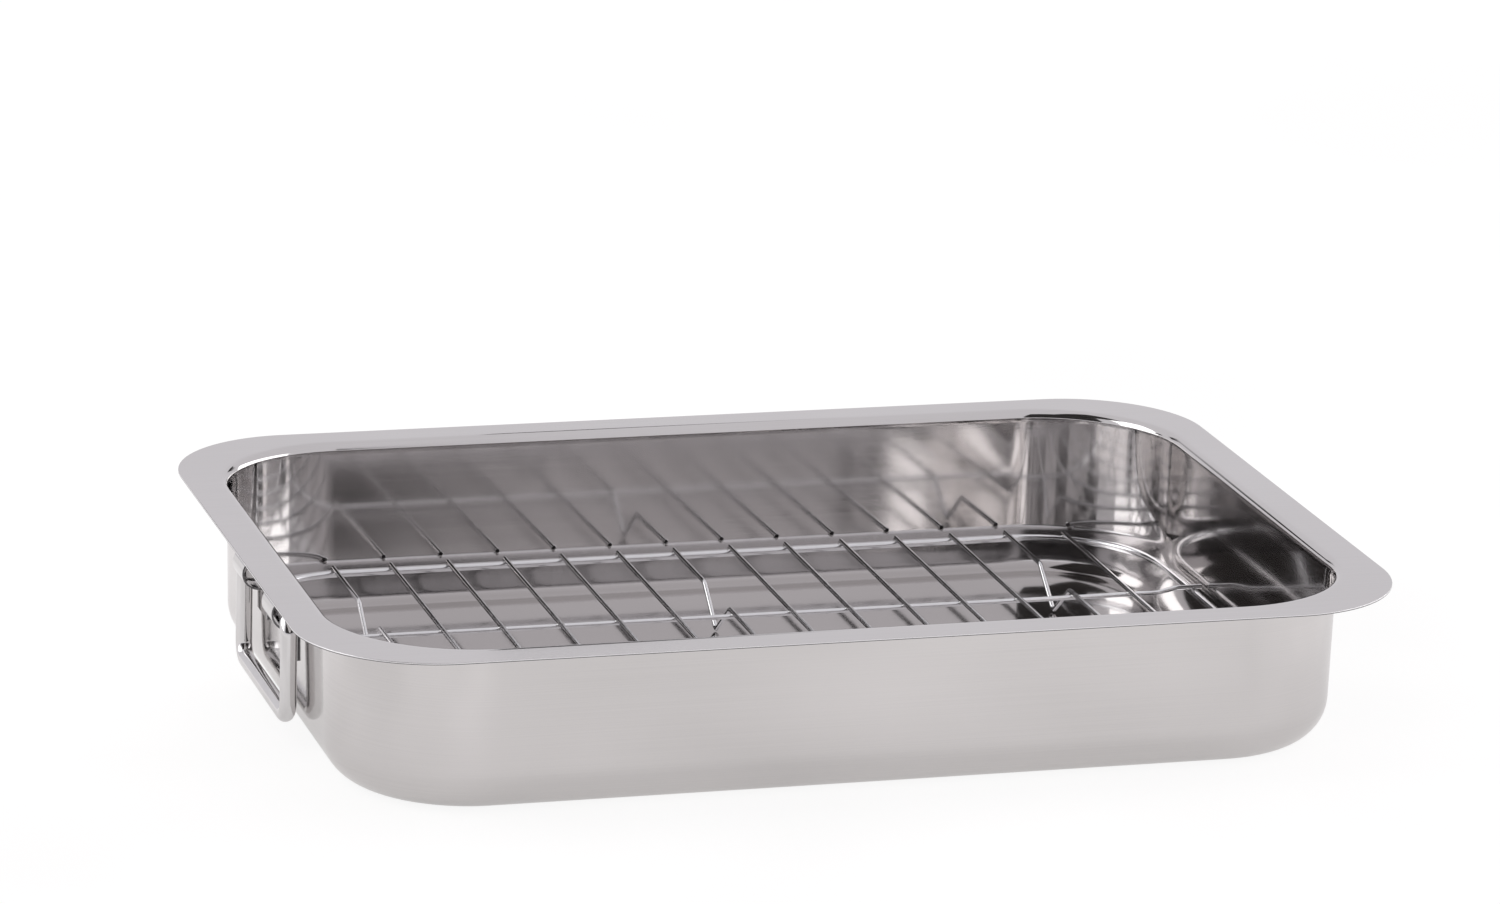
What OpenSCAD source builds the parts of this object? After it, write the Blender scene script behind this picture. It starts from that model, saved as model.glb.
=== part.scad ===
// Roasting pan with a lift-out wire rack and two drop handles held in curled clips.
// Frame: origin at the middle of the pan's underside, X along the pan, Y across it to the back,
// Z up, millimetres. Drawn with the rack seated in the pan and both handles hanging.

/* [Pan] */
// length over the rim
rim_l = 330.2; // [260:0.1:450]
// width over the rim
rim_w = 238.8; // [190:0.1:350]
// height from the underside to the top of the rim
pan_h = 50.8; // [46:0.1:90]
// thickness of the pan's sheet
sheet = 0.6; // [0.4:0.05:1.2]
// corner radius of the rim's cut edge
rim_r = 40; // [20:0.5:60]
// width of the flat rim, from the wall's outer face to the cut edge
flange_w = 12.3; // [10:0.1:25]
// outer corner radius of the wall, up at the rim
wall_r = 41.6; // [30:0.1:60]
// lean of the wall, in degrees
draft = 0.95; // [0:0.05:5]
// outer radius between the floor and the wall
floor_r = 12.6; // [6:0.1:18]
// radius over which the wall turns out into the rim, on the top side
root_r = 2.6; // [1.5:0.1:5]

/* [Rack] */
// gap at each end between the ring and the outer face of the wall at the rim
ring_end_gap = 3.575; // [3.5:0.005:40]
// gap along each side between the ring and the outer face of the wall at the rim
ring_side_gap = 5.5; // [5:0.1:30]
// outer corner radius of the ring
ring_r = 40; // [30:0.5:50]
// diameter of the ring's wire
ring_d = 2.4; // [1.8:0.1:3]
// diameter of the cross wires and the long wires
wire_d = 1.5; // [1:0.1:2.2]
// distance of the first cross wire from the ring's axis at the left
first_gap = 17.565; // [17:0.005:25]
// distance of the last cross wire from the ring's axis at the right
last_gap = 21.445; // [17:0.005:25]
// how far each long wire lies from the middle, along Y
long_y = 33; // [20:0.5:35]
// how deep the welded wires sink into each other
weld_sink = 0.2; // [0.05:0.05:0.4]
// how far a cross wire ends short of the ring's outer edge
end_short = 0.5; // [0:0.1:1]
// how far the long wires reach past the ring's axis at the right
long_past = 2.6; // [0.5:0.1:2.7]
// how far the long wires stop short of the ring's axis at the left
long_short = 0.4; // [0:0.1:0.6]
// length over which a long wire rises on to the ring
rise_l = 6; // [4:0.5:10]
// where the rise starts, from the ring's axis
rise_at = 12; // [11:0.5:14]
// bend radius of the rise, at the wire's axis
rise_r = 8; // [2:0.5:10]

/* [Feet] */
// depth of a foot's bend, at the wire's axis
foot_depth = 10.6; // [6:0.1:20]
// half the width of a foot's bend at the top
foot_half = 14.6; // [10:0.1:17]
// middle of the back feet, along Y
foot_back = 51; // [50:0.5:66]
// middle of the front feet, along Y
foot_front = -60; // [-66:0.5:-50]
// bend radius at the bottom of a foot, at the wire's axis
foot_r = 2; // [1.5:0.1:4]
// bend radius at the shoulders of a foot, at the wire's axis
shoulder_r = 3; // [1.5:0.1:4]
// running gap between the feet and the floor
foot_gap = 0.3; // [0.1:0.05:1]

/* [Handles] */
// diameter of the handle's rod
rod_d = 5; // [4:0.1:6]
// spacing of the handle's two legs, axis to axis
leg_pitch = 62; // [56:0.5:100]
// drop from the pivot to the bottom bar, axis to axis
drop = 29; // [15:0.5:30]
// bend radius of the handle's lower corners, at the rod's axis
bail_r = 5; // [3.5:0.1:10]
// bend radius between a leg and its stub, at the rod's axis
stub_r = 4; // [3.2:0.1:5]
// length of a stub from the leg's axis to its cut end
stub_l = 12; // [10:0.5:16]
// distance of the pivot from the wall
pivot_off = 3.6; // [3.2:0.1:5]
// height of the pivot
pivot_z = 38.6; // [36:0.1:40]
// how far a handle sits off the middle of its end wall
handle_off = 4.5; // [0:0.5:15]

/* [Clips] */
// length of a clip along the rod
clip_l = 13.6; // [8:0.1:16]
// thickness of the clip's sheet
clip_t = 0.6; // [0.4:0.05:1]
// gap between the clip's outer edge and the handle's leg
clip_side = 1.2; // [0.6:0.1:3]
// inner radius of the clip's channel
channel_r = 4.5; // [4.4:0.1:4.8]
// how far the channel's middle lies nearer the wall than the pivot
channel_in = 0.7; // [0:0.1:1.2]
// running gap between the rod and the bottom of the channel
rod_gap = 0.3; // [0.05:0.05:0.4]
// bend radius where the channel turns down to the lower tab, on the outside
tab_r = 2.3; // [1:0.1:2.4]
// bend radius where the channel turns up to the upper tab, on the outside
top_r = 1; // [0.6:0.1:1.2]
// length of the lower tab's flat
tab_l = 7.2; // [4:0.1:9]
// length of the upper tab's flat
top_l = 1.8; // [0.5:0.1:2]

/* [Hidden] */
$fn = 96;
steel = [0.78, 0.77, 0.78];
bright = [0.86, 0.86, 0.87];
wire_grey = [0.82, 0.82, 0.83];

// pan
wall_x = rim_l / 2 - flange_w;
wall_y = rim_w / 2 - flange_w;
corner_x = wall_x - wall_r;
corner_y = wall_y - wall_r;
half_sheet = sheet / 2;
floor_bend = floor_r - half_sheet;
root_bend = root_r - half_sheet;
band_foot = wall_r - (pan_h - half_sheet) * tan(draft) - half_sheet / cos(draft);
band_head = wall_r - half_sheet * tan(draft) - half_sheet / cos(draft);
floor_cut = floor_bend * tan((90 - draft) / 2);
root_cut = root_bend * tan((90 - draft) / 2);
floor_edge = band_foot - floor_cut;
flange_edge = band_head + root_cut;
lap = 1;

// rack
ring_x = wall_x - ring_end_gap - ring_d / 2;
ring_y = wall_y - ring_side_gap - ring_d / 2;
ring_bend = ring_r - ring_d / 2;
ring_cx = ring_x - ring_bend;
ring_cy = ring_y - ring_bend;
cross_z = (ring_d + wire_d) / 2 - weld_sink;
long_z = cross_z - wire_d + weld_sink;
rack_z = sheet + foot_gap + foot_depth + wire_d / 2 - cross_z;
foot_fall = corner_fall(corner_fall(foot_depth));
straight_wires = [1, 3, 4, 5, 6, 7, 9, 10, 11, 12, 13, 15];
foot_wires = [2, 8, 14];
wires = len(straight_wires) + len(foot_wires);
pitch = (2 * ring_x - first_gap - last_gap) / (wires - 1);

// bends: how much sheet and wire swell there, and half a collar's turn for a bar as thick as its bend
swell = 0.02;
wire_swell = 0.01;
collar_l = 3;

// handles and clips, on the wall's outer face at the pivot's height
pivot_x = wall_face(pivot_z) + pivot_off;
clip_u = channel_r + clip_t;
channel_z = pivot_z + sqrt(pow(channel_r - rod_gap - rod_d / 2, 2) - pow(channel_in, 2));
channel_u = pivot_off - channel_in;
clip_mid = leg_pitch / 2 - rod_d / 2 - clip_side - clip_l / 2;
clip_bend = channel_r + clip_t / 2;
strap = clip_t / 2;

// distance of the end wall's outer face from the middle, at a height
function wall_face(z) = wall_x - (pan_h - z) * tan(draft);
function unit(v) = v / norm(v);
function heading(a, b) = atan2(b[1] - a[1], b[0] - a[0]);
function side_of(a, b, c) = cross([b[0] - a[0], b[1] - a[1]], [c[0] - b[0], c[1] - b[1]]) > 0 ? 1 : -1;
function turn(a, b, c) = acos(unit(b - a) * unit(c - b));
function cuts(p, r) = [for (i = [0 : len(p) - 1])
    i == 0 || i == len(p) - 1 ? 0 : r[i] * tan(turn(p[i - 1], p[i], p[i + 1]) / 2)];
// half the ring's outer width at a distance along X
function ring_edge(x) = abs(x) <= ring_cx ? ring_cy + ring_r
    : ring_cy + sqrt(pow(ring_r, 2) - pow(abs(x) - ring_cx, 2));
// depth of the sharp corner whose rounded bend reaches foot_depth, from a first guess
function corner_fall(guess) = foot_depth + foot_r * (1 / cos(atan(guess / foot_half)) - 1);
function wire_x(i) = first_gap - ring_x + (i - 1) * pitch;

// middle of the bend at corner i
function bend_middle(p, r, i) = p[i] - cuts(p, r)[i] * unit(p[i] - p[i - 1])
    + side_of(p[i - 1], p[i], p[i + 1]) * r[i]
    * [-sin(heading(p[i - 1], p[i])), cos(heading(p[i - 1], p[i]))];

// a bend in a strip: centre line radius r, thickness t, from angle a over w degrees
module strip_bend(r, t, a, w) {
    far = 3 * (r + t);
    intersection() {
        difference() {
            circle(r = r + t / 2);
            circle(r = r - t / 2);
        }
        polygon([[0, 0],
                 [far * cos(a), far * sin(a)],
                 [far * 1.5 * cos(a + w / 2), far * 1.5 * sin(a + w / 2)],
                 [far * cos(a + w), far * sin(a + w)]]);
    }
}

// sheet seen edge on: corners p of its centre line, bend radii r, thickness t; a stretch
// between two bends swells a hair at its ends, as drawn sheet does
module strip(p, r, t) {
    c = cuts(p, r);
    for (i = [0 : len(p) - 2]) {
        along = unit(p[i + 1] - p[i]);
        l = norm(p[i + 1] - p[i]) - c[i] - c[i + 1];
        translate(p[i] + c[i] * along) {
            if (l > 0.01)
                rotate(heading(p[i], p[i + 1]))
                    translate([0, -t / 2])
                        square([l, t]);
            if (i > 0 && i < len(p) - 2)
                for (k = [0, 1])
                    translate(k * l * along)
                        circle(d = t + swell);
        }
    }
    for (i = [1 : len(p) - 2]) {
        s = side_of(p[i - 1], p[i], p[i + 1]);
        w = turn(p[i - 1], p[i], p[i + 1]);
        h = heading(p[i - 1], p[i]);
        translate(bend_middle(p, r, i))
            strip_bend(r[i], t, s > 0 ? h - 90 : h + 90 - w, w);
    }
}

// one straight of round bar from a to b in the XY plane
module bar(a, b, d) {
    translate([a[0], a[1], 0])
        rotate([0, 0, heading(a, b)])
            rotate([0, 90, 0])
                cylinder(h = norm(b - a), d = d);
}

// a bend in round bar about the origin, from angle a over w degrees
module bar_bend(r, d, a, w) {
    rotate([0, 0, a])
        rotate_extrude(angle = w)
            translate([r, 0])
                circle(d = d);
}

// round bar along corners p in the XY plane, bend radii r at its axis; with a collar, each
// bend's ends swell by that share of the bar, as thin wire does that is bent hard
module bent_bar(p, r, d, collar = 0) {
    c = cuts(p, r);
    for (i = [0 : len(p) - 2]) {
        along = unit(p[i + 1] - p[i]);
        bar(p[i] + c[i] * along, p[i + 1] - c[i + 1] * along, d);
    }
    for (i = [1 : len(p) - 2]) {
        w = turn(p[i - 1], p[i], p[i + 1]);
        h = heading(p[i - 1], p[i]);
        a = side_of(p[i - 1], p[i], p[i + 1]) > 0 ? h - 90 : h + 90 - w;
        reach = collar_l * d / r[i];
        m = bend_middle(p, r, i);
        translate([m[0], m[1], 0]) {
            bar_bend(r[i], d, a, w);
            if (collar > 0)
                for (k = [0, 1])
                    bar_bend(r[i], d * (1 + collar), a + k * w - reach, 2 * reach);
        }
    }
}

module rounded(x, y, r) {
    square([2 * x, 2 * y - 2 * r], center = true);
    square([2 * x - 2 * r, 2 * y], center = true);
    for (sx = [-1, 1], sy = [-1, 1])
        translate([sx * (x - r), sy * (y - r)])
            circle(r = r);
}

// floor bend, wall and rim seen edge on, out from a corner's centre, with a flat lap at each end
module band() {
    strip([[floor_edge - 2 * lap, half_sheet],
           [band_foot, half_sheet],
           [band_head, pan_h - half_sheet],
           [flange_edge + 2 * lap, pan_h - half_sheet]],
          [0, floor_bend, root_bend, 0], sheet);
}

module side(l) {
    rotate([90, 0, 0])
        linear_extrude(l, center = true)
            band();
}

module pan_shell() {
    color(steel) {
        linear_extrude(sheet)
            rounded(corner_x + floor_edge - lap, corner_y + floor_edge - lap, floor_edge - lap);
        translate([0, 0, pan_h - sheet])
            linear_extrude(sheet)
                difference() {
                    rounded(rim_l / 2, rim_w / 2, rim_r);
                    rounded(corner_x + flange_edge + lap, corner_y + flange_edge + lap,
                            flange_edge + lap);
                }
        for (k = [0, 1])
            rotate([0, 0, 180 * k]) {
                translate([corner_x, 0, 0])
                    side(2 * corner_y);
                translate([0, corner_y, 0])
                    rotate([0, 0, 90])
                        side(2 * corner_x);
                translate([corner_x, corner_y, 0])
                    rotate_extrude(angle = 90)
                        band();
                translate([-corner_x, corner_y, 0])
                    rotate([0, 0, 90])
                        rotate_extrude(angle = 90)
                            band();
            }
    }
}

module ring_wire() {
    for (k = [0, 1])
        rotate([0, 0, 180 * k]) {
            translate([ring_x, -ring_cy, 0])
                rotate([-90, 0, 0])
                    cylinder(h = 2 * ring_cy, d = ring_d);
            translate([-ring_cx, ring_y, 0])
                rotate([0, 90, 0])
                    cylinder(h = 2 * ring_cx, d = ring_d);
            for (a = [0, 1])
                mirror([a, 0, 0])
                    translate([ring_cx, ring_cy, 0])
                        rotate_extrude(angle = 90)
                            translate([ring_bend, 0])
                                circle(d = ring_d);
        }
}

module rack_ring() {
    color(wire_grey)
        translate([0, 0, rack_z])
            ring_wire();
}

// s is -1 for the front wire and 1 for the back one
module long_run(s) {
    translate([0, s * long_y, 0])
        rotate([90, 0, 0])
            bent_bar([[-ring_x + long_short, cross_z],
                      [-ring_x + rise_at - rise_l, cross_z],
                      [-ring_x + rise_at, long_z],
                      [ring_x - rise_at, long_z],
                      [ring_x - rise_at + rise_l, cross_z],
                      [ring_x + long_past, cross_z]],
                     [0, rise_r, rise_r, rise_r, rise_r, 0], wire_d, wire_swell);
}

module long_wire(s) {
    color(wire_grey)
        translate([0, 0, rack_z])
            difference() {
                long_run(s);
                ring_wire();
            }
}

// what the cross wires rest in: the ring and the middle of the two long wires
module saddle() {
    ring_wire();
    for (s = [-1, 1])
        translate([-ring_x + rise_at + 2, s * long_y, long_z])
            rotate([0, 90, 0])
                cylinder(h = 2 * (ring_x - rise_at - 2), d = wire_d);
}

module cross_wire(i) {
    e = ring_edge(wire_x(i)) - end_short;
    color(wire_grey)
        translate([0, 0, rack_z])
            difference() {
                translate([wire_x(i), -e, cross_z])
                    rotate([-90, 0, 0])
                        cylinder(h = 2 * e, d = wire_d);
                saddle();
            }
}

// drawn in a plane with Y to the right and Z up, then stood across the rack
module foot_wire(i) {
    e = ring_edge(wire_x(i)) - end_short;
    low = cross_z - foot_fall;
    color(wire_grey)
        translate([0, 0, rack_z])
            difference() {
                translate([wire_x(i), 0, 0])
                    rotate([90, 0, 90])
                        bent_bar([[-e, cross_z],
                                  [foot_front - foot_half, cross_z],
                                  [foot_front, low],
                                  [foot_front + foot_half, cross_z],
                                  [foot_back - foot_half, cross_z],
                                  [foot_back, low],
                                  [foot_back + foot_half, cross_z],
                                  [e, cross_z]],
                                 [0, shoulder_r, foot_r, shoulder_r,
                                  shoulder_r, foot_r, shoulder_r, 0], wire_d, wire_swell);
                saddle();
            }
}

// one handle on the right-hand end, its rod's stubs on the pivot line
module handle() {
    h = leg_pitch / 2;
    color(bright)
        translate([pivot_x, handle_off, pivot_z])
            rotate([90, 0, 90])
                bent_bar([[-h + stub_l, 0],
                          [-h, 0],
                          [-h, -drop],
                          [h, -drop],
                          [h, 0],
                          [h - stub_l, 0]],
                         [0, stub_r, bail_r, bail_r, stub_r, 0], rod_d);
}

// one clip on the right-hand end; s is -1 or 1 for the side of the handle's middle
module clip(s) {
    reach = channel_u + clip_u - clip_t / 2;
    color(steel)
        translate([wall_face(channel_z), handle_off + s * clip_mid, channel_z])
            rotate([90, draft, 0])
                linear_extrude(clip_l, center = true)
                    strip([[strap, -clip_bend - tab_r - strap - tab_l],
                           [strap, -clip_bend],
                           [reach, -clip_bend],
                           [reach, clip_bend],
                           [strap, clip_bend],
                           [strap, clip_bend + top_r + strap + top_l]],
                          [0, tab_r + strap, clip_bend, clip_bend, top_r + strap, 0], clip_t);
}

module left_end() {
    rotate([0, 0, 180])
        children();
}

pan_shell();
left_end() clip(1);  // handle_clip_left_front
left_end() clip(-1);  // handle_clip_left_back
clip(-1);  // handle_clip_right_front
clip(1);  // handle_clip_right_back
left_end() handle();  // handle_left
handle();  // handle_right
rack_ring();
long_wire(-1);  // long_wire_front
long_wire(1);  // long_wire_back
foot_wire(foot_wires[0]);  // foot_wire_1
foot_wire(foot_wires[1]);  // foot_wire_2
foot_wire(foot_wires[2]);  // foot_wire_3
for (k = [1 : 12])
    cross_wire(straight_wires[k - 1]);
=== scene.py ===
"""Roasting pan with a lift-out wire rack and hanging handles, dressed for a studio picture.

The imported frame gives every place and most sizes. The pan is pressed from one sheet, the handles
hang in curled clips on its ends, and the rack is welded from wire.
"""
from __future__ import annotations

import logging
import math
from dataclasses import dataclass
from enum import Enum

import bmesh
import bpy
from mathutils import Matrix, Vector

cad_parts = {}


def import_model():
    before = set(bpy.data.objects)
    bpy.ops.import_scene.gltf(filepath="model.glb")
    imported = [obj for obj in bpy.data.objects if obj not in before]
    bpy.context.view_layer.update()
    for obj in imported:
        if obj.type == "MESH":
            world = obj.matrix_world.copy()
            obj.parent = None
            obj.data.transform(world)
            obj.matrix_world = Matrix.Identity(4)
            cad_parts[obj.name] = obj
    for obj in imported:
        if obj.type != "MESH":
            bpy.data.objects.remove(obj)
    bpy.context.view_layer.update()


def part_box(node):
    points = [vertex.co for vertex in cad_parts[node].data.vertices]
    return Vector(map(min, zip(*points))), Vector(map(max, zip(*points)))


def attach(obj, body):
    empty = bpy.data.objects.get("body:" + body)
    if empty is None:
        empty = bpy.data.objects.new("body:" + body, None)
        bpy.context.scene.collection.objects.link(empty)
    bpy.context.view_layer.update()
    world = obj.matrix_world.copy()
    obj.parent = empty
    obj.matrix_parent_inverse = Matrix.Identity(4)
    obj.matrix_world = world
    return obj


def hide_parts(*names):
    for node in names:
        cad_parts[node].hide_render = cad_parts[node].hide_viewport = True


log = logging.getLogger("roasting_pan")

MM = 0.001
UP = Vector((0.0, 0.0, 1.0))
ALONG = Vector((1.0, 0.0, 0.0))
ACROSS = Vector((0.0, 1.0, 0.0))

SMOOTH_UP_TO = math.radians(35.0)
BROKEN_FROM = math.radians(50.0)
BEND_STRETCH = math.radians(7.5)
NEXT_TO_NOTHING = 0.01 * MM

Triple = tuple[float, float, float]
Colour = Triple


class Slot(Enum):
    """The record's material slots."""

    PAN = "pan_steel"
    CLIP = "clip_steel"
    HANDLE = "handle_steel"
    WIRE = "rack_wire"


class Body(Enum):
    """The frame's bodies."""

    PAN = "pan"
    RACK = "rack"
    LEFT = "handle_left"
    RIGHT = "handle_right"


class Signal:
    """A shader output that is added, taken away and multiplied like a number."""

    def __init__(self, bench: ShaderBench, socket: bpy.types.NodeSocket | None) -> None:
        """Wraps an output socket of a node on the bench."""
        self.bench = bench
        self.socket = socket

    def _math(self, operation: str, *values: Signal | float) -> Signal:
        """Adds a Math node.

        Args:
            operation: The node's operation.
            values: Its inputs in order.

        Returns:
            The node's output.
        """
        inputs = dict(enumerate(values))
        return self.bench.node("ShaderNodeMath", {"operation": operation}, inputs)

    def __add__(self, other: Signal | float) -> Signal:
        """The sum."""
        return self._math("ADD", self, other)

    def __radd__(self, other: float) -> Signal:
        """The sum, number first."""
        return self._math("ADD", other, self)

    def __sub__(self, other: Signal | float) -> Signal:
        """The difference."""
        return self._math("SUBTRACT", self, other)

    def __rsub__(self, other: float) -> Signal:
        """The difference, number first."""
        return self._math("SUBTRACT", other, self)

    def __mul__(self, other: Signal | float) -> Signal:
        """The product."""
        return self._math("MULTIPLY", self, other)

    def __rmul__(self, other: float) -> Signal:
        """The product, number first."""
        return self._math("MULTIPLY", other, self)

    def __abs__(self) -> Signal:
        """The value without its sign."""
        return self._math("ABSOLUTE", self)

    def axis(self, name: str) -> Signal:
        """A vector's X, Y or Z."""
        return self.bench.node("ShaderNodeSeparateXYZ", None, {0: self}, name)

    def step(self, low: float, high: float) -> Signal:
        """A smooth step from 0 at low to 1 at high.

        Args:
            low: Where the step starts.
            high: Where it ends; it may be the smaller value, for a falling step.

        Returns:
            The step, from 0 to 1.
        """
        ends = {"Value": self, "From Min": low, "From Max": high}
        return self.bench.node("ShaderNodeMapRange", {"interpolation_type": "SMOOTHSTEP"}, ends)


class ShaderBench:
    """A place to lay out the nodes of one material or world."""

    def __init__(self, tree: bpy.types.NodeTree) -> None:
        """Clears the tree and keeps it."""
        self.tree = tree
        tree.nodes.clear()

    def node(
        self,
        kind: str,
        settings: dict[str, object] | None = None,
        inputs: dict[str | int, object] | None = None,
        output: str | int = 0,
    ) -> Signal:
        """Adds a node, sets it up, and fills its inputs.

        Args:
            kind: The node's type.
            settings: Its settings, set before its inputs.
            inputs: A value or a signal for each input that isn't left as it is.
            output: The output to return.

        Returns:
            That output, or the first one.
        """
        made = self.tree.nodes.new(kind)
        for name, value in (settings or {}).items():
            setattr(made, name, value)
        for name, value in (inputs or {}).items():
            if isinstance(value, Signal):
                self.tree.links.new(value.socket, made.inputs[name])
            else:
                made.inputs[name].default_value = value
        return Signal(self, made.outputs[output] if len(made.outputs) else None)

    def place(self, scale: Triple = (1.0, 1.0, 1.0)) -> Signal:
        """Object coordinates, stretched.

        Args:
            scale: How many noise cells fit in a metre, along X, Y and Z.

        Returns:
            The stretched coordinates.
        """
        coordinates = self.node("ShaderNodeTexCoord", output="Object")
        return self.node("ShaderNodeMapping", None, {"Vector": coordinates, "Scale": scale})

    def noise(self, vector: Signal, detail: float, roughness: float = 0.5) -> Signal:
        """Noise from 0 to 1 at one cell a unit of the vector."""
        inputs = {"Vector": vector, "Scale": 1.0, "Detail": detail, "Roughness": roughness}
        return self.node("ShaderNodeTexNoise", None, inputs)

    def blend(self, share: Signal, low: Signal | Colour, high: Colour) -> Signal:
        """A colour between two.

        Args:
            share: 0 for low, 1 for high.
            low: The first colour, which may be another blend.
            high: The second colour.

        Returns:
            The colour.
        """
        first = low if isinstance(low, Signal) else (*low, 1.0)
        ends = {0: share, 6: first, 7: (*high, 1.0)}
        return self.node("ShaderNodeMix", {"data_type": "RGBA"}, ends, 2)

    def bump(self, height: Signal, depth: float, under: Signal | None = None) -> Signal:
        """A normal from a height.

        Args:
            height: The height, 0 to 1.
            depth: What a height of 1 stands for, in metres.
            under: A normal that this one is laid on.

        Returns:
            The normal.
        """
        inputs: dict[str | int, object] = {"Height": height, "Distance": depth, "Strength": 1.0}
        if under is not None:
            inputs["Normal"] = under
        return self.node("ShaderNodeBump", None, inputs)


# The normal's Z, up or down, between which a wall turns into flat ground.
WALL_TO_FLAT = (0.6, 0.9)
# The stretch of a noise that is spread out over the whole range from 0 to 1.
MIDDLE_HALF = (0.25, 0.75)
CLOUDS_PER_METRE = 14.0
LINE_DETAIL = 4.0
LINE_ROUGHNESS = 0.6
# How much of the colour and the roughness follows the lines; the rest follows the clouds.
LINES_IN_COLOUR = 0.5
LINES_IN_ROUGHNESS = 0.55


@dataclass(frozen=True)
class Metal:
    """A bare metal finish: a colour that varies a little, fine lines and a soft waviness.

    The lines' values say how many of them fit in a metre, along X, Y and Z. Below a height, the
    colour can change to a near-black one: painted shade along the lower part of a cut edge,
    which also stands for its torn metal.
    """

    name: str
    dark: Colour
    light: Colour
    smooth: float
    rough: float
    wall_lines: Triple
    flat_lines: Triple
    line_depth: float
    wave_size: float
    wave_depth: float
    # Painted shade: a near-black colour below a height, the dark line under a bright cut edge,
    # which also stands for torn metal.
    torn_and_shade: Colour | None = None
    shade_below: float = 0.0
    shade_blur: float = 0.05 * MM

    def _mottle(self, lines: Signal, cloud: Signal, share: float) -> Signal:
        """Lines laid over clouds, spread out over the range from 0 to 1."""
        return (lines * share + cloud * (1.0 - share)).step(*MIDDLE_HALF)

    def build(self) -> bpy.types.Material:
        """Makes the material.

        Returns:
            A metal whose fine lines run level along walls and lengthwise on flat ground.
        """
        material = bpy.data.materials.new(self.name)
        material.use_nodes = True
        bench = ShaderBench(material.node_tree)
        facing = bench.node("ShaderNodeNewGeometry", output="Normal")
        flat = abs(facing.axis("Z")).step(*WALL_TO_FLAT)
        wall = bench.noise(bench.place(self.wall_lines), LINE_DETAIL, LINE_ROUGHNESS)
        ground = bench.noise(bench.place(self.flat_lines), LINE_DETAIL, LINE_ROUGHNESS)
        lines = wall * (1.0 - flat) + ground * flat
        cloud = bench.noise(bench.place((CLOUDS_PER_METRE,) * 3), detail=3.0)
        wave = bench.noise(bench.place((1.0 / self.wave_size,) * 3), detail=1.0)
        tone = self._mottle(lines, cloud, LINES_IN_COLOUR)
        colour = bench.blend(tone, self.dark, self.light)
        # Painted shade: below the height the colour turns near black, a dark line under the bright
        # cut edge that also stands for torn metal.
        if self.torn_and_shade:
            top = self.shade_below + self.shade_blur
            share = bench.place().axis("Z").step(top, self.shade_below - self.shade_blur)
            colour = bench.blend(share, colour, self.torn_and_shade)
        spread = self.rough - self.smooth
        roughness = self._mottle(lines, cloud, LINES_IN_ROUGHNESS) * spread + self.smooth
        normal = bench.bump(wave, self.wave_depth)
        normal = bench.bump(lines, self.line_depth, normal)
        inputs = {
            "Base Color": colour,
            "Metallic": 1.0,
            "Roughness": roughness,
            "Normal": normal,
        }
        surface = bench.node("ShaderNodeBsdfPrincipled", None, inputs)
        bench.node("ShaderNodeOutputMaterial", None, {"Surface": surface})
        return material


PAN_STEEL = Metal(
    name="drawn_pan_steel",
    dark=(0.635, 0.617, 0.612),
    light=(0.685, 0.667, 0.662),
    smooth=0.05,
    rough=0.12,
    wall_lines=(9.0, 9.0, 2600.0),
    flat_lines=(12.0, 2400.0, 12.0),
    line_depth=0.0014 * MM,
    wave_size=70 * MM,
    wave_depth=0.13 * MM,
)
CUT_EDGE = Metal(
    name="cut_edge_steel",
    dark=(0.78, 0.77, 0.78),
    light=(0.88, 0.87, 0.88),
    smooth=0.2,
    rough=0.34,
    wall_lines=(60.0, 60.0, 60.0),
    flat_lines=(60.0, 60.0, 60.0),
    line_depth=0.001 * MM,
    wave_size=50 * MM,
    wave_depth=0.01 * MM,
    # The cut edge's lower part is painted near black: painted shade under the rim's bright edge,
    # which also stands for torn metal.
    torn_and_shade=(0.10, 0.10, 0.105),
    shade_below=50.45 * MM,
)
# Painted shade: the clips' cut edges are near black, a painted shadow line where the tabs stand
# off the wall, laid on the sheared edge.
CLIP_EDGE_SHADE = Metal(
    name="clip_edge_painted_shade",
    dark=(0.10, 0.10, 0.105),
    light=(0.26, 0.255, 0.26),
    smooth=0.25,
    rough=0.42,
    wall_lines=(300.0, 300.0, 900.0),
    flat_lines=(300.0, 900.0, 300.0),
    line_depth=0.002 * MM,
    wave_size=10 * MM,
    wave_depth=0.01 * MM,
)
CLIP_STEEL = Metal(
    name="rolled_clip_steel",
    dark=(0.60, 0.59, 0.592),
    light=(0.70, 0.69, 0.69),
    smooth=0.06,
    rough=0.15,
    wall_lines=(40.0, 40.0, 2200.0),
    flat_lines=(40.0, 2200.0, 40.0),
    line_depth=0.0008 * MM,
    wave_size=20 * MM,
    wave_depth=0.03 * MM,
)
BAR_STEEL = Metal(
    name="polished_bar_steel",
    dark=(0.64, 0.63, 0.63),
    light=(0.74, 0.73, 0.73),
    smooth=0.04,
    rough=0.11,
    wall_lines=(700.0, 90.0, 90.0),
    flat_lines=(700.0, 90.0, 90.0),
    line_depth=0.0006 * MM,
    wave_size=30 * MM,
    wave_depth=0.02 * MM,
)
WIRE_STEEL = Metal(
    name="plated_wire",
    dark=(0.72, 0.715, 0.725),
    light=(0.84, 0.835, 0.845),
    smooth=0.14,
    rough=0.26,
    wall_lines=(260.0, 260.0, 700.0),
    flat_lines=(260.0, 260.0, 700.0),
    line_depth=0.0008 * MM,
    wave_size=12 * MM,
    wave_depth=0.012 * MM,
)
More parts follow.
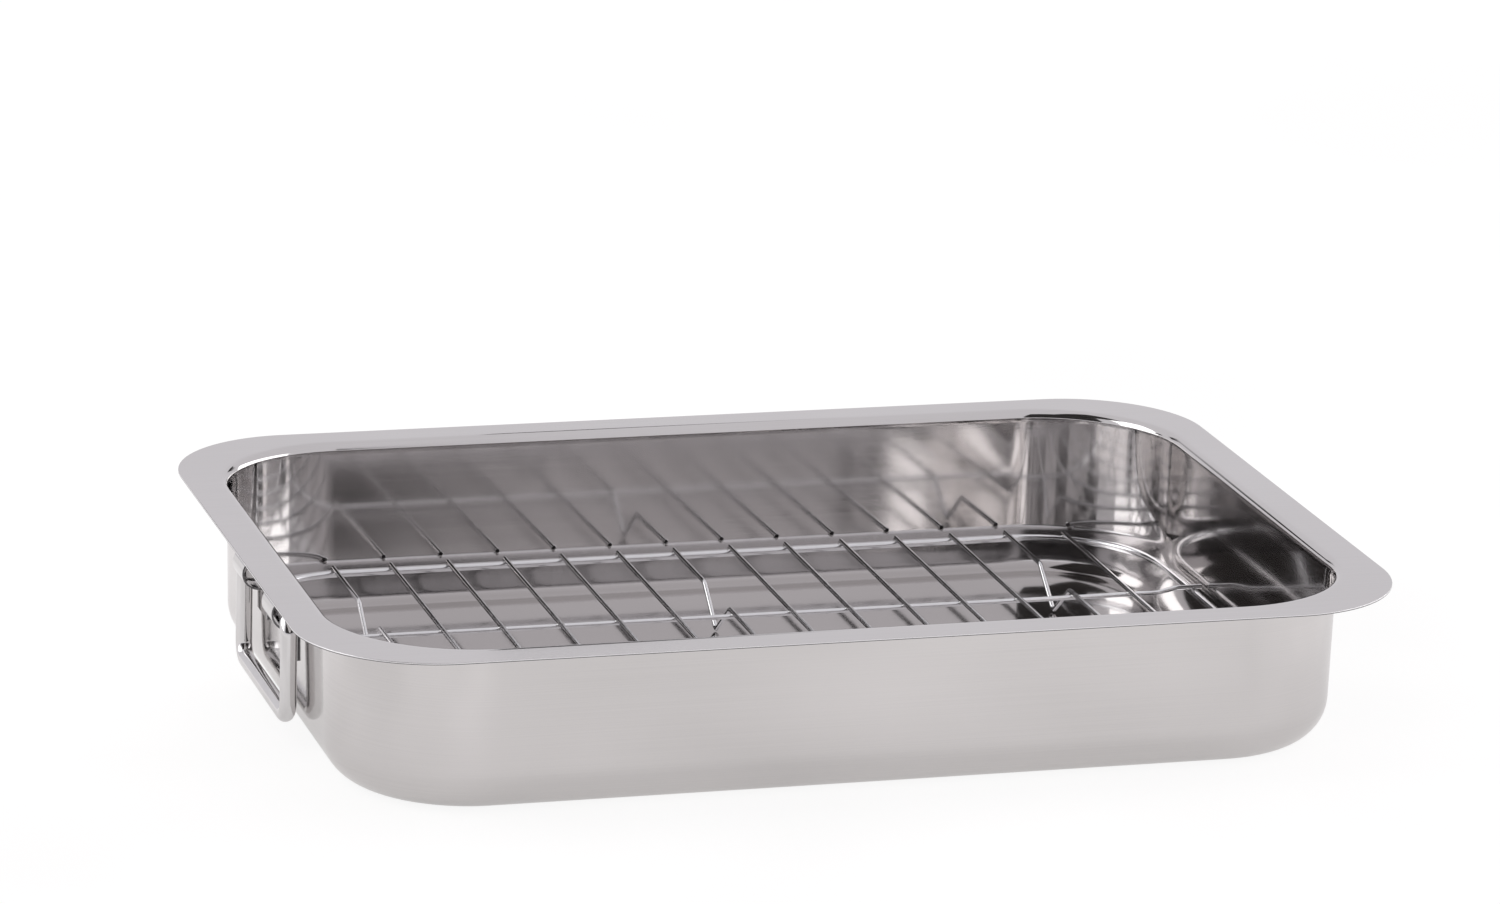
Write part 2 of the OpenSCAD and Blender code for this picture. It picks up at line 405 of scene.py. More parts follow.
SHEARED_END = Metal(
    name="sheared_wire_end",
    dark=(0.03, 0.03, 0.03),
    light=(0.15, 0.145, 0.15),
    smooth=0.3,
    rough=0.5,
    wall_lines=(900.0, 900.0, 900.0),
    flat_lines=(900.0, 900.0, 900.0),
    line_depth=0.01 * MM,
    wave_size=4 * MM,
    wave_depth=0.01 * MM,
)
WELD_STEEL = Metal(
    name="welded_wire",
    dark=(0.55, 0.54, 0.54),
    light=(0.80, 0.79, 0.78),
    smooth=0.18,
    rough=0.4,
    wall_lines=(1400.0, 1400.0, 1400.0),
    flat_lines=(1400.0, 1400.0, 1400.0),
    line_depth=0.03 * MM,
    wave_size=2 * MM,
    wave_depth=0.02 * MM,
)


@dataclass(frozen=True)
class PaleFloor:
    """The studio's white sweep."""

    name: str = "studio_floor"
    low: Colour = (0.715, 0.695, 0.68)
    high: Colour = (0.955, 0.932, 0.913)
    clouds_per_metre: float = 5.0
    cloud_range: tuple[float, float] = (0.3, 0.7)
    white: float = 1.1
    white_share: float = 0.78
    mirrored_share: float = 0.4

    def build(self) -> bpy.types.Material:
        """Makes the material.

        Returns:
            A pale floor that is cloudy, and nearly white to the camera.
        """
        material = bpy.data.materials.new(self.name)
        material.use_nodes = True
        bench = ShaderBench(material.node_tree)
        cloud = bench.noise(bench.place((self.clouds_per_metre,) * 3), detail=2.0)
        colour = bench.blend(cloud.step(*self.cloud_range), self.low, self.high)
        matt = bench.node("ShaderNodeBsdfDiffuse", None, {"Color": colour})
        white = bench.node("ShaderNodeEmission", None, {"Strength": self.white})
        to_camera = bench.node("ShaderNodeLightPath", output="Is Camera Ray")
        to_metal = bench.node("ShaderNodeLightPath", output="Is Glossy Ray")
        share = to_camera * self.white_share + to_metal * self.mirrored_share
        surface = bench.node("ShaderNodeMixShader", None, {0: share, 1: matt, 2: white})
        bench.node("ShaderNodeOutputMaterial", None, {"Surface": surface})
        return material


@dataclass(frozen=True)
class DarkDrape:
    """A black cloth that only bare metal sees, with an edge along X that may fade out."""

    name: str
    solid_to: float
    gone_at: float
    low: Colour = (0.02, 0.02, 0.022)
    high: Colour = (0.07, 0.066, 0.062)
    folds_per_metre: Triple = (9.0, 9.0, 1.5)

    def build(self) -> bpy.types.Material:
        """Makes the material.

        Returns:
            A matt cloth with soft folds.
        """
        material = bpy.data.materials.new(self.name)
        material.use_nodes = True
        bench = ShaderBench(material.node_tree)
        folds = bench.noise(bench.place(self.folds_per_metre), detail=2.0)
        inputs = {"Color": bench.blend(folds, self.low, self.high)}
        cloth = bench.node("ShaderNodeBsdfDiffuse", None, inputs)
        seen = {
            0: bench.place().axis("X").step(self.solid_to, self.gone_at),
            1: cloth,
            2: bench.node("ShaderNodeBsdfTransparent"),
        }
        surface = bench.node("ShaderNodeMixShader", None, seen)
        bench.node("ShaderNodeOutputMaterial", None, {"Surface": surface})
        return material


class Workshop:
    """Turns finished meshes into pieces that ride on a body and stand for a node."""

    def __init__(self) -> None:
        """Builds each finish once."""
        finishes = (
            PAN_STEEL, CUT_EDGE, CLIP_STEEL, CLIP_EDGE_SHADE, BAR_STEEL, WIRE_STEEL, SHEARED_END,
            WELD_STEEL,
        )
        self.materials = {finish.name: finish.build() for finish in finishes}

    def piece(
        self,
        name: str,
        mesh: bmesh.types.BMesh,
        finishes: tuple[Metal, ...],
        body: Body,
        slot: Slot,
        node: str = "",
    ) -> bpy.types.Object:
        """Makes a piece.

        Args:
            name: The piece's name.
            mesh: Its shape, which is freed.
            finishes: Its materials, in the order of its faces' numbers.
            body: The body it rides on.
            slot: The record's slot; not used.
            node: The node it stands for, if any.

        Returns:
            The piece.
        """
        data = bpy.data.meshes.new(name)
        mesh.to_mesh(data)
        mesh.free()
        data.shade_smooth()
        data.set_sharp_from_angle(angle=SMOOTH_UP_TO)
        for finish in finishes:
            data.materials.append(self.materials[finish.name])
        made = bpy.data.objects.new(name, data)
        bpy.context.scene.collection.objects.link(made)
        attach(made, body.value)
        if node:
            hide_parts(node)
        log.info("%s: %d faces on %s", name, len(data.polygons), body.value)
        return made

    @staticmethod
    def thicken(
        made: bpy.types.Object, sheet: float, offset: float, edge: str, broken: float
    ) -> None:
        """Gives a piece the thickness of its sheet, then breaks its cut edges.

        Args:
            made: The piece, drawn without its thickness.
            sheet: The sheet's thickness.
            offset: -1 to grow inward from the drawn skin, 0 to grow both ways.
            edge: The name of the step that breaks the edges.
            broken: How much of an edge is broken.
        """
        solid = made.modifiers.new("sheet", "SOLIDIFY")
        solid.thickness = sheet
        solid.offset = offset
        solid.use_even_offset = True
        solid.material_offset_rim = 1
        bevel = made.modifiers.new(edge, "BEVEL")
        bevel.width = broken
        bevel.segments = 2
        bevel.limit_method = "ANGLE"
        bevel.angle_limit = BROKEN_FROM
        bevel.harden_normals = True


class Bender:
    """Stock that is fed straight and bent round, as in a bending jig."""

    def __init__(self, at: Vector) -> None:
        """Starts at a point, with nothing drawn yet."""
        self.mesh = bmesh.new()
        self.at = at.copy()
        self.tip: list[bmesh.types.BMEdge] = []

    def _grow(self, edges: list[bmesh.types.BMEdge]) -> list[bmesh.types.BMVert]:
        """Extrudes edges, keeps the copies as the tip, and gives the tip's corners."""
        grown = bmesh.ops.extrude_edge_only(self.mesh, edges=edges)["geom"]
        self.tip = [g for g in grown if isinstance(g, bmesh.types.BMEdge)]
        return [g for g in grown if isinstance(g, bmesh.types.BMVert)]

    def feed(self, way: Vector) -> None:
        """Runs the stock straight on, unless the way is next to nothing."""
        if way.length > NEXT_TO_NOTHING:
            bmesh.ops.translate(self.mesh, verts=self._grow(self.tip), vec=way)
            self.at = self.at + way

    def bend(self, angle: float, radius: float, heading: Vector, inward: Vector) -> None:
        """Bends the stock.

        Args:
            angle: How far it turns, in radians.
            radius: The bend's radius at the middle of the stock.
            heading: The way it runs before the bend.
            inward: The way from the stock to the bend's middle.
        """
        middle = self.at + inward.normalized() * radius
        axis = heading.cross(inward).normalized()
        steps = max(3, round(angle / BEND_STRETCH))
        spun = bmesh.ops.spin(
            self.mesh, geom=self.tip, cent=middle, axis=axis, angle=angle, steps=steps
        )
        self.tip = [g for g in spun["geom_last"] if isinstance(g, bmesh.types.BMEdge)]
        self.at = middle + Matrix.Rotation(angle, 3, axis) @ (self.at - middle)

    def follow(self, corners: list[Vector], radii: list[float]) -> None:
        """Runs along corners, with a bend at each one between the ends.

        Args:
            corners: The corners, the first of them where the stock starts.
            radii: The bends' radii.
        """
        for before, corner, after, radius in zip(corners, corners[1:], corners[2:], radii):
            heading = (corner - before).normalized()
            leaving = (after - corner).normalized()
            angle = heading.angle(leaving)
            cut = heading * radius * math.tan(angle / 2)
            self.feed(corner - cut - self.at)
            self.bend(angle, radius, heading, leaving - heading * heading.dot(leaving))
        self.feed(corners[-1] - self.at)


class RoundBar(Bender):
    """A round bar along corners, its two ends cut flat with their edge broken."""

    def __init__(
        self,
        corners: list[Vector],
        radii: list[float],
        radius: float,
        sides: int,
        chamfer: float,
    ) -> None:
        """Makes the bar.

        Args:
            corners: The corners of its axis.
            radii: The bends' radii at its axis.
            radius: The bar's radius.
            sides: Its number of sides.
            chamfer: How much of its ends' edge is broken.
        """
        super().__init__(corners[0])
        self.radius = radius
        self.chamfer = chamfer
        heading = corners[1] - corners[0]
        turned = heading.to_track_quat("Z", "Y").to_matrix().to_4x4()
        place = Matrix.Translation(self.at) @ turned
        bmesh.ops.create_circle(self.mesh, segments=sides, radius=radius, matrix=place)
        start = list(self.mesh.edges)
        self.tip = start
        self.follow(corners, radii)
        end = self.tip
        self._close(start, corners[0], -heading.normalized())
        self._close(end, corners[-1], (corners[-1] - corners[-2]).normalized())
        bmesh.ops.recalc_face_normals(self.mesh, faces=self.mesh.faces)

    def _close(self, edges: list[bmesh.types.BMEdge], at: Vector, outward: Vector) -> None:
        """Breaks an end's edge and fills the end.

        Args:
            edges: The end's edges.
            at: The end's middle.
            outward: The way out of the bar.
        """
        step = outward * self.chamfer
        corners = list(dict.fromkeys(v for e in edges for v in e.verts))
        bmesh.ops.translate(self.mesh, verts=corners, vec=-step)
        corners = self._grow(edges)
        bmesh.ops.translate(self.mesh, verts=corners, vec=step)
        share = 1.0 - self.chamfer / self.radius
        around = Matrix.Translation(-at)
        bmesh.ops.scale(self.mesh, vec=(share, share, share), space=around, verts=corners)
        bmesh.ops.edgeloop_fill(self.mesh, edges=self.tip, mat_nr=1)


class Strip(Bender):
    """A flat strip along corners, drawn without its thickness."""

    def __init__(self, corners: list[Vector], radii: list[float], across: Vector) -> None:
        """Makes the strip.

        Args:
            corners: The corners of the middle of its thickness.
            radii: The bends' radii there.
            across: From its middle line to its edge.
        """
        super().__init__(corners[0])
        ends = [self.mesh.verts.new(corners[0] + side * across) for side in (-1.0, 1.0)]
        self.tip = [self.mesh.edges.new(ends)]
        self.follow(corners, radii)
        bmesh.ops.recalc_face_normals(self.mesh, faces=self.mesh.faces)


@dataclass
class PanShell:
    """The pan: one drawn sheet with a flat rim and a plain cut edge."""

    shop: Workshop
    sheet: float = 0.6 * MM
    rim_corner: float = 40 * MM
    flange: float = 12.3 * MM
    wall_corner: float = 41.6 * MM
    draft: float = math.radians(0.95)
    floor_bend: float = 12.6 * MM
    root_bend: float = 2.0 * MM
    guard: float = 1.2 * MM
    floor_steps: int = 16
    root_steps: int = 7
    corner_steps: int = 28
    seam: float = 0.002 * MM
    rim_slack: float = 0.1 * MM
    rim_tries: int = 24
    bevel: float = 0.14 * MM

    def __post_init__(self) -> None:
        """Takes the overall sizes from the frame."""
        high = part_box("pan_shell")[1]
        self.half = Vector((high.x, high.y))
        self.height = high.z
        wall = self.half - Vector((self.flange, self.flange))
        self.core = wall - Vector((self.wall_corner, self.wall_corner))

    def _draw_to(
        self, mesh: bmesh.types.BMesh, tip: bmesh.types.BMVert, way: Vector
    ) -> bmesh.types.BMVert:
        """Extrudes the section's tip straight on and gives the new tip."""
        grown = bmesh.ops.extrude_vert_indiv(mesh, verts=[tip])["verts"]
        bmesh.ops.translate(mesh, verts=grown, vec=way)
        return grown[0]

    def _swing(
        self,
        mesh: bmesh.types.BMesh,
        tip: bmesh.types.BMVert,
        middle: Vector,
        angle: float,
        steps: int,
    ) -> bmesh.types.BMVert:
        """Spins the section's tip round an axis along the pan's width.

        Args:
            mesh: The mesh to draw in.
            tip: The section's tip.
            middle: The bend's middle.
            angle: How far to turn, in radians.
            steps: How many stretches the bend is made of.

        Returns:
            The new tip.
        """
        spun = bmesh.ops.spin(
            mesh, geom=[tip], cent=middle, axis=ACROSS, angle=angle, steps=steps
        )
        return [g for g in spun["geom_last"] if isinstance(g, bmesh.types.BMVert)][0]

    def _section(self, mesh: bmesh.types.BMesh) -> list[bmesh.types.BMEdge]:
        """Draws the outer skin's section at the right-hand end, from the floor to the rim.

        Args:
            mesh: The mesh to draw in.

        Returns:
            The section's edges.
        """
        turn = math.pi / 2 - self.draft
        foot = self.wall_corner - self.height * math.tan(self.draft)
        edge = self.core.x + foot - self.floor_bend * math.tan(turn / 2)
        guard = ALONG * self.guard
        tip = mesh.verts.new((edge - self.guard, self.core.y, 0.0))
        tip = self._draw_to(mesh, tip, guard)
        middle = tip.co + UP * self.floor_bend
        tip = self._swing(mesh, tip, middle, -turn, self.floor_steps)
        up = Vector((math.sin(self.draft), 0.0, math.cos(self.draft)))
        root_cut = self.root_bend * math.tan(turn / 2)
        rise = (self.height - self.sheet - tip.co.z) / up.z - root_cut
        for length in (self.guard, rise - 2 * self.guard, self.guard):
            tip = self._draw_to(mesh, tip, up * length)
        middle = tip.co + Vector((up.z, 0.0, -up.x)) * self.root_bend
        tip = self._swing(mesh, tip, middle, turn, self.root_steps)
        self._draw_to(mesh, tip, guard)
        return list(mesh.edges)

    def _run(
        self, mesh: bmesh.types.BMesh, section: list[bmesh.types.BMEdge], way: Vector
    ) -> list[bmesh.types.BMEdge]:
        """Extrudes the section straight on and gives its copy at the end."""
        for length in (self.guard, way.length - 2 * self.guard, self.guard):
            grown = bmesh.ops.extrude_edge_only(mesh, edges=section)["geom"]
            corners = [g for g in grown if isinstance(g, bmesh.types.BMVert)]
            section = [g for g in grown if isinstance(g, bmesh.types.BMEdge)]
            bmesh.ops.translate(mesh, verts=corners, vec=way.normalized() * length)
        return section

    def _skin(self) -> bmesh.types.BMesh:
        """Sweeps the section round the pan.

        Returns:
            The outer skin from the floor's edge to the start of the rim.
        """
        mesh = bmesh.new()
        section = self._section(mesh)
        corners = ((1, 1), (-1, 1), (-1, -1), (1, -1))
        ways = (-ALONG * self.core.x, -ACROSS * self.core.y)
        runs = (*ways, -ways[0], -ways[1])
        for (side_x, side_y), way in zip(corners, runs):
            middle = (side_x * self.core.x, side_y * self.core.y, 0.0)
            spun = bmesh.ops.spin(
                mesh,
                geom=section,
                cent=middle,
                axis=UP,
                angle=math.pi / 2,
                steps=self.corner_steps,
            )
            section = [g for g in spun["geom_last"] if isinstance(g, bmesh.types.BMEdge)]
            section = self._run(mesh, section, 2 * way)
        bmesh.ops.remove_doubles(mesh, verts=mesh.verts, dist=self.seam)
        return mesh

    def _past_rim(self, point: Vector) -> float:
        """How far a point lies outside the rim's outline; negative inside."""
        inner = self.half - Vector((self.rim_corner, self.rim_corner))
        over = Vector((max(abs(point.x) - inner.x, 0.0), max(abs(point.y) - inner.y, 0.0)))
        return over.length - self.rim_corner

    def _to_rim(self, corner: bmesh.types.BMVert, short: float) -> None:
        """Moves a corner straight out from the wall until it is short of the rim's outline."""
        place = corner.co.xy
        nearest = [max(-c, min(c, p)) for c, p in zip(self.core, place)]
        out = (place - Vector(nearest)).normalized()
        for _ in range(self.rim_tries):
            place = place - out * (self._past_rim(place) + short)
        corner.co.xy = place

    def _add_rim(self, mesh: bmesh.types.BMesh) -> None:
        """Runs the rim out to its cut edge."""
        level = self.height - self.sheet - self.rim_slack
        edges = [e for e in mesh.edges if e.is_boundary and min(v.co.z for v in e.verts) > level]
        for short in (self.guard, 0.0):
            grown = bmesh.ops.extrude_edge_only(mesh, edges=edges)["geom"]
            edges = [g for g in grown if isinstance(g, bmesh.types.BMEdge)]
            for corner in (g for g in grown if isinstance(g, bmesh.types.BMVert)):
                self._to_rim(corner, short)

    def build(self) -> None:
        """Makes the pan."""
        mesh = self._skin()
        self._add_rim(mesh)
        low = [e for e in mesh.edges if e.is_boundary and max(v.co.z for v in e.verts) < MM]
        floor = bmesh.ops.edgeloop_fill(mesh, edges=low)["faces"][0]
        bmesh.ops.recalc_face_normals(mesh, faces=mesh.faces)
        if floor.normal.z > 0.0:
            bmesh.ops.reverse_faces(mesh, faces=mesh.faces)
        # The cut edge's lower part carries painted shade.
        finishes = (PAN_STEEL, CUT_EDGE)
        pan = self.shop.piece("pan_sheet", mesh, finishes, Body.PAN, Slot.PAN, "pan_shell")
        self.shop.thicken(pan, self.sheet, -1.0, "cut_edge", self.bevel)


@dataclass
class HandleSet:
    """Both handles and the four curled clips that hold them."""

    shop: Workshop
    pan: PanShell
    bail_bend: float = 5 * MM
    stub_bend: float = 4 * MM
    stub: float = 12 * MM
    clip_sheet: float = 0.6 * MM
    channel: float = 4.5 * MM
    channel_out: float = 2.9 * MM
    tab_bend: float = 2.3 * MM
    top_bend: float = 1.0 * MM
    lower_tab: float = 7.2 * MM
    upper_tab: float = 1.8 * MM
    clip_bevel: float = 0.12 * MM
    bar_sides: int = 32
    bar_chamfer: float = 0.35 * MM

    def _handle(self, name: str, body: Body) -> None:
        """Bends one handle: stub, leg, bottom bar, leg and stub."""
        low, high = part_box(body.value)
        radius = (high.x - low.x) / 2
        x = (high.x + low.x) / 2
        top = high.z - radius
        bottom = low.z + radius
        front = low.y + radius
        back = high.y - radius
        corners = [
            Vector((x, front + self.stub, top)),
            Vector((x, front, top)),
            Vector((x, front, bottom)),
            Vector((x, back, bottom)),
            Vector((x, back, top)),
            Vector((x, back - self.stub, top)),
        ]
        radii = [self.stub_bend, self.bail_bend, self.bail_bend, self.stub_bend]
        bar = RoundBar(corners, radii, radius, self.bar_sides, self.bar_chamfer)
        finishes = (BAR_STEEL, BAR_STEEL)
        self.shop.piece(name, bar.mesh, finishes, body, Slot.HANDLE, body.value)

    def _clip(self, node: str) -> None:
        """Curls one clip round a handle's stub and lays its two tabs on the wall."""
        low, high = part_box(node)
        side = 1.0 if high.x > 0.0 else -1.0
        lean = self.pan.draft
        up = Vector((side * math.sin(lean), 0.0, math.cos(lean)))
        out = Vector((side * math.cos(lean), 0.0, -math.sin(lean)))
        half = self.clip_sheet / 2
        bend = self.channel + half
        tab_bend = self.tab_bend + half
        top_bend = self.top_bend + half
        middle_z = high.z - (bend + top_bend + self.upper_tab) * up.z
        wall = self.pan.half.x - self.pan.flange
        wall -= (self.pan.height - middle_z) * math.tan(lean)
        foot = Vector((side * wall, (low.y + high.y) / 2, middle_z))
        reach = self.channel_out + bend
        profile = (
            (half, -bend - tab_bend - self.lower_tab),
            (half, -bend),
            (reach, -bend),
            (reach, bend),
            (half, bend),
            (half, bend + top_bend + self.upper_tab),
        )
        corners = [foot + out * u + up * v for u, v in profile]
        strip = Strip(corners, [tab_bend, bend, bend, top_bend], ACROSS * (high.y - low.y) / 2)
        # The clip's cut edges carry painted shade.
        finishes = (CLIP_STEEL, CLIP_EDGE_SHADE)
        clip = self.shop.piece(
            node.replace("handle_clip", "curled_clip"), strip.mesh, finishes, Body.PAN,
            Slot.CLIP, node,
        )
        self.shop.thicken(clip, self.clip_sheet, 0.0, "edge", self.clip_bevel)

    def build(self) -> None:
        """Makes the handles and the clips."""
        self._handle("bail_left", Body.LEFT)
        self._handle("bail_right", Body.RIGHT)
        for end in ("left", "right"):
            for place in ("front", "back"):
                self._clip(f"handle_clip_{end}_{place}")


@dataclass
class WireRack:
    """The rack: a ring, two long wires, and a row of cross wires, three of them bent into feet."""

    shop: Workshop
    ring_corner: float = 40 * MM
    rise_at: float = 12 * MM
    rise: float = 6 * MM
    rise_bend: float = 8 * MM
    foot_half: float = 14.6 * MM
    foot_back: float = 51 * MM
    foot_front: float = -60 * MM
    foot_bend: float = 2 * MM
    shoulder_bend: float = 3 * MM
    joint_x: float = -30 * MM
    joint_step: float = 0.25 * MM
    chamfer: float = 0.12 * MM
    wire_sides: int = 20
    feet: int = 3
    cross_wires: int = 12
    nugget: Triple = (1.05 * MM, 0.85 * MM, 0.42 * MM)
    nugget_turn: float = 2.4

    def __post_init__(self) -> None:
        """Takes the ring's place and size from the frame."""
        low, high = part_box("rack_ring")
        self.ring_radius = (high.z - low.z) / 2
        self.ring_z = (high.z + low.z) / 2
        self.ring_half = Vector((high.x, high.y)) - Vector((self.ring_radius, self.ring_radius))
        self.spots: list[Vector] = []

    def _wire(
        self, name: str, node: str, corners: list[Vector], radii: list[float], radius: float
    ) -> None:
        """Makes one wire of the rack."""
        bar = RoundBar(corners, radii, radius, self.wire_sides, self.chamfer)
        finishes = (WIRE_STEEL, SHEARED_END)
        self.shop.piece(name, bar.mesh, finishes, Body.RACK, Slot.WIRE, node)

    def _ring_y(self, x: float) -> float:
        """How far the ring's axis lies from the middle, along Y, at a distance along X."""
        bend = self.ring_corner - self.ring_radius
        over = max(abs(x) - (self.ring_half.x - bend), 0.0)
        return self.ring_half.y - bend + math.sqrt(bend**2 - over**2)

    def _ring(self) -> None:
        """Bends the ring from one length, butt-jointed on the near side."""
        x, y = self.ring_half
        z = self.ring_z
        step = self.joint_step
        corners = [
            Vector((self.joint_x, -y, z)),
            Vector((x, -y, z)),
            Vector((x, y, z)),
            Vector((-x, y, z)),
            Vector((-x, -y, z)),
            Vector((self.joint_x, step - y, z - step / 2)),
        ]
        bend = self.ring_corner - self.ring_radius
        self._wire("ring_wire", "rack_ring", corners, [bend] * 4, self.ring_radius)

    def _long_wire(self, place: str) -> None:
        """Makes one long wire, which dips under the cross wires between its two ends."""
        node = f"long_wire_{place}"
        low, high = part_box(node)
        radius = (high.y - low.y) / 2
        y = (low.y + high.y) / 2
        top = high.z - radius
        dip = low.z + radius
        start = self.ring_half.x - self.rise_at
        corners = [
            Vector((low.x, y, top)),
            Vector((-start - self.rise, y, top)),
            Vector((-start, y, dip)),
            Vector((start, y, dip)),
            Vector((start + self.rise, y, top)),
            Vector((high.x, y, top)),
        ]
        self._wire(f"runner_{place}", node, corners, [self.rise_bend] * 4, radius)
        self.spots += [Vector((side * self.ring_half.x, y, top - radius)) for side in (-1, 1)]

    def _cross_wire(self, node: str) -> None:
        """Makes one wire across the rack and marks its four welds."""
        low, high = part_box(node)
        radius = (high.x - low.x) / 2
        x = (low.x + high.x) / 2
        top = high.z - radius
        bottom = low.z + radius
        corners = [Vector((x, low.y, top))]
        radii: list[float] = []
        if node.startswith("foot"):
            lean = math.atan2(top - bottom, self.foot_half)
            fall = top - bottom + self.foot_bend * (1.0 / math.cos(lean) - 1.0)
            for middle in (self.foot_front, self.foot_back):
                corners += [
                    Vector((x, middle - self.foot_half, top)),
                    Vector((x, middle, top - fall)),
                    Vector((x, middle + self.foot_half, top)),
                ]
                radii += [self.shoulder_bend, self.foot_bend, self.shoulder_bend]
        corners.append(Vector((x, high.y, top)))
        self._wire(node.replace("_wire", "_rod"), node, corners, radii, radius)
        long_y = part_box("long_wire_back")[1].y - radius
        under = top - radius
        edge = self._ring_y(x)
        self.spots += [Vector((x, y, under)) for y in (-edge, -long_y, long_y, edge)]

    def _welds(self) -> None:
        """Leaves a small flattened nugget at each weld."""
        mesh = bmesh.new()
        size = Matrix.Diagonal((*self.nugget, 1.0))
        for number, spot in enumerate(self.spots):
            turn = Matrix.Rotation(number * self.nugget_turn, 4, "Z")
            bmesh.ops.create_uvsphere(
                mesh,
                u_segments=12,
                v_segments=8,
                radius=1.0,
                matrix=Matrix.Translation(spot) @ turn @ size,
            )
        self.shop.piece("weld_nuggets", mesh, (WELD_STEEL,), Body.RACK, Slot.WIRE)

    def build(self) -> None:
        """Makes the rack."""
        self._ring()
        for place in ("front", "back"):
            self._long_wire(place)
        for number in range(self.feet):
            self._cross_wire(f"foot_wire_{number + 1}")
        for number in range(self.cross_wires):
            self._cross_wire(f"cross_wire_{number + 1:02d}")
        self._welds()


@dataclass
class ViewCamera:
    """A camera fitted to the pan's outlines in the photograph."""

    azimuth: float = math.radians(-16.591)
    elevation: float = math.radians(15.711)
    roll: float = math.radians(1.824)
    distance: float = 2.1546
    target: Triple = (0.04053, 0.163, 0.025)
    lens: float = 158.6
    sensor: float = 36.0
    far: float = 100.0

    def build(self) -> None:
        """Puts the camera in its place."""
        level = math.cos(self.elevation)
        back = Vector(
            (
                math.sin(self.azimuth) * level,
                -math.cos(self.azimuth) * level,
                math.sin(self.elevation),
            )
        )
        right = UP.cross(back).normalized()
        up = back.cross(right)
        roll = Matrix.Rotation(self.roll, 3, back)
        axes = Matrix((roll @ right, roll @ up, back)).transposed()
        data = bpy.data.cameras.new("view")
        data.lens = self.lens
        data.sensor_width = self.sensor
        data.sensor_fit = "HORIZONTAL"
        data.clip_end = self.far
        camera = bpy.data.objects.new("view", data)
        place = Vector(self.target) + back * self.distance
        camera.matrix_world = Matrix.Translation(place) @ axes.to_4x4()
        bpy.context.scene.collection.objects.link(camera)
        bpy.context.scene.camera = camera


# A fade that starts past every panel, so that none of it shows.
NO_FADE = (90.0, 91.0)


@dataclass(frozen=True)
class Panel:
    """A flat panel round the pan: a softbox's face with a level, or a flag that may fade out."""

    name: str
    middle: Triple
    width: float
    height: float
    facing: Vector
    level: float = 0.0
    fade: tuple[float, float] = NO_FADE

    def place(self) -> Matrix:
        """Where the panel stands, its Z axis away from the way it faces."""
        turned = (-self.facing).to_track_quat("Z", "Y").to_matrix().to_4x4()
        return Matrix.Translation(self.middle) @ turned


SOFTBOXES = (
    Panel("left_softbox", (-2.3, 0.6, 1.6), 2.0, 2.75, ALONG, 1.65),
    Panel("right_softbox", (2.3, -0.05, 0.6), 3.1, 0.9, -ALONG, 1.7),
)
FLAGS = (
    Panel("camera_drape", (-1.014, -2.175, 2.05), 3.5, 3.5, Vector((0.423, 0.906, 0.0))),
    Panel("overhead_flag", (-1.35, -0.8, 2.6), 1.9, 2.3, -UP),
    Panel("low_flag", (0.06, 0.3, 0.15), 0.14, 0.044, -ACROSS, fade=(0.02, 0.13)),
    Panel("corner_flag", (-0.19, 0.3, 0.16), 0.13, 0.05, -ACROSS),
)


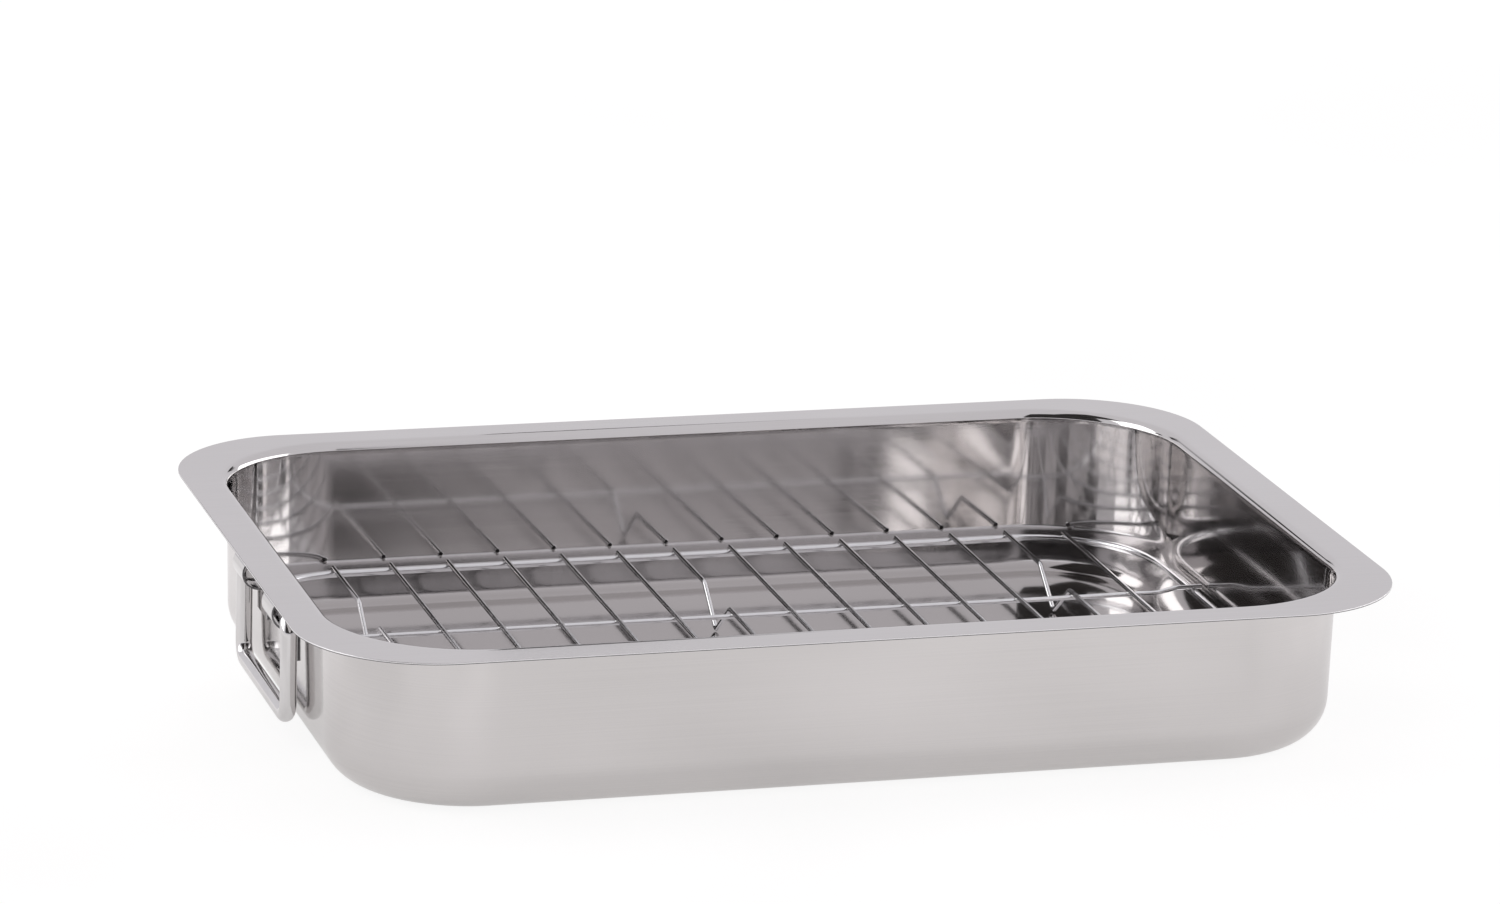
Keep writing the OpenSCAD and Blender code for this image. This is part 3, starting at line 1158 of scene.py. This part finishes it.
@dataclass
class Studio:
    """The white sweep with a softbox at each side and the dark room behind the camera."""

    floor_size: float = 40.0
    surround: Colour = (0.76, 0.745, 0.775)

    def _flat(
        self, name: str, size: tuple[float, float], place: Matrix, finish: PaleFloor | DarkDrape
    ) -> bpy.types.Object:
        """Makes a flat piece of the set.

        Args:
            name: The piece's name.
            size: Its length and width.
            place: Where it stands and how it is turned.
            finish: Its finish.

        Returns:
            The piece.
        """
        mesh = bmesh.new()
        stretch = Matrix.Diagonal((size[0] / 2, size[1] / 2, 1.0, 1.0))
        bmesh.ops.create_grid(mesh, x_segments=4, y_segments=4, size=1.0, matrix=place @ stretch)
        data = bpy.data.meshes.new(name)
        mesh.to_mesh(data)
        mesh.free()
        data.materials.append(finish.build())
        made = bpy.data.objects.new(name, data)
        bpy.context.scene.collection.objects.link(made)
        return made

    def _softbox(self, panel: Panel) -> None:
        """Stands a broad soft lamp beside the pan."""
        lamp = bpy.data.lights.new(panel.name, "AREA")
        lamp.shape = "RECTANGLE"
        lamp.size = panel.width
        lamp.size_y = panel.height
        lamp.energy = panel.level * math.pi * panel.width * panel.height
        made = bpy.data.objects.new(panel.name, lamp)
        made.matrix_world = panel.place()
        made.visible_camera = False
        bpy.context.scene.collection.objects.link(made)

    def _flag(self, panel: Panel, finish: DarkDrape) -> None:
        """Stands a black flag, which only shiny surfaces see."""
        made = self._flat(panel.name, (panel.width, panel.height), panel.place(), finish)
        made.visible_camera = False
        made.visible_diffuse = False
        made.visible_shadow = False

    def _surround(self) -> None:
        """Makes the pale surround, which the camera sees white."""
        world = bpy.data.worlds.new("surround")
        world.use_nodes = True
        bpy.context.scene.world = world
        bench = ShaderBench(world.node_tree)
        to_camera = bench.node("ShaderNodeLightPath", output="Is Camera Ray")
        colour = bench.blend(to_camera, self.surround, (1.0, 1.0, 1.0))
        background = bench.node("ShaderNodeBackground", None, {"Color": colour})
        bench.node("ShaderNodeOutputWorld", None, {"Surface": background})

    def build(self) -> None:
        """Makes the whole set."""
        size = (self.floor_size, self.floor_size)
        self._flat("floor", size, Matrix.Identity(4), PaleFloor())
        for panel in SOFTBOXES:
            self._softbox(panel)
        for panel in FLAGS:
            self._flag(panel, DarkDrape(f"{panel.name}_cloth", *panel.fade))
        self._surround()


def main() -> None:
    """Builds the picture, piece by piece."""
    logging.basicConfig(level=logging.INFO, format="%(name)s %(message)s")
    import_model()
    bpy.context.scene.view_settings.view_transform = "Standard"
    ViewCamera().build()
    Studio().build()
    shop = Workshop()
    pan = PanShell(shop)
    pan.build()
    HandleSet(shop, pan).build()
    WireRack(shop).build()


if __name__ == "__main__":
    main()
